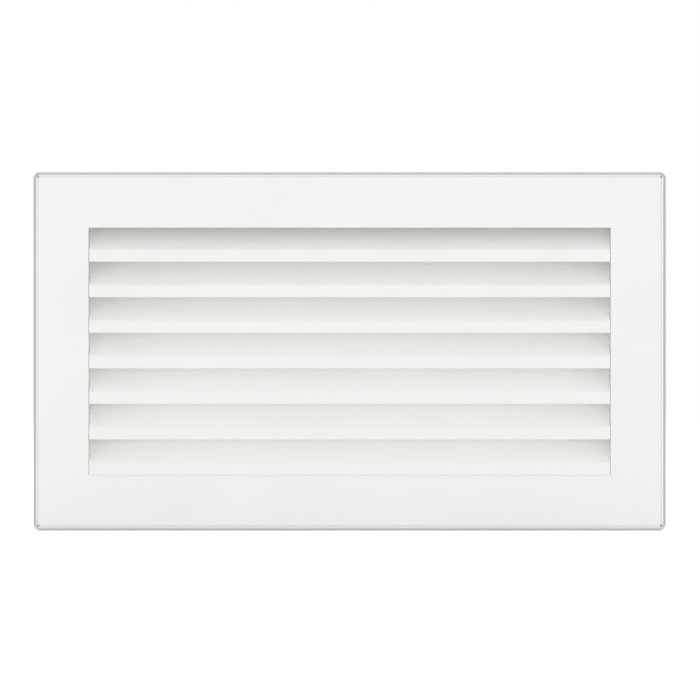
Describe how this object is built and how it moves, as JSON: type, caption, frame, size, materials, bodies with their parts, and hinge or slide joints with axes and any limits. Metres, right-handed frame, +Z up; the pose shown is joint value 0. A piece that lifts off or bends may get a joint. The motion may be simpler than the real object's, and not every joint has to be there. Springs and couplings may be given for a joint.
{
  "type": "fireplace vent grille",
  "caption": "White louvred wall grille of folded sheet steel for warm air from a fireplace hood, with slanted slats, a collar and side springs that hold it in the wall.",
  "frame": {"origin": "centre of the grille in the wall plane, where the folded returns meet the wall", "axes": "+X to the right seen from the front, +Y into the wall, +Z up"},
  "size_m": [0.3, 0.037, 0.17],
  "materials": {
    "white_coat": "satin white powder coat",
    "spring_steel": "bright rolled spring steel",
    "rivet_metal": "plain"
  },
  "bodies": {
    "root": {"front_frame": "white_coat", "top_rail": "white_coat", "bottom_rail": "white_coat", "left_cheek": "white_coat", "right_cheek": "white_coat", "slat_1": "white_coat", "slat_2": "white_coat", "slat_3": "white_coat", "slat_4": "white_coat", "slat_5": "white_coat", "slat_6": "white_coat", "slat_7": "white_coat", "spring_clip_left_lower": "spring_steel", "spring_clip_left_upper": "spring_steel", "spring_clip_right_lower": "spring_steel", "spring_clip_right_upper": "spring_steel", "clip_rivets": "rivet_metal"}
  },
  "joints": []
}
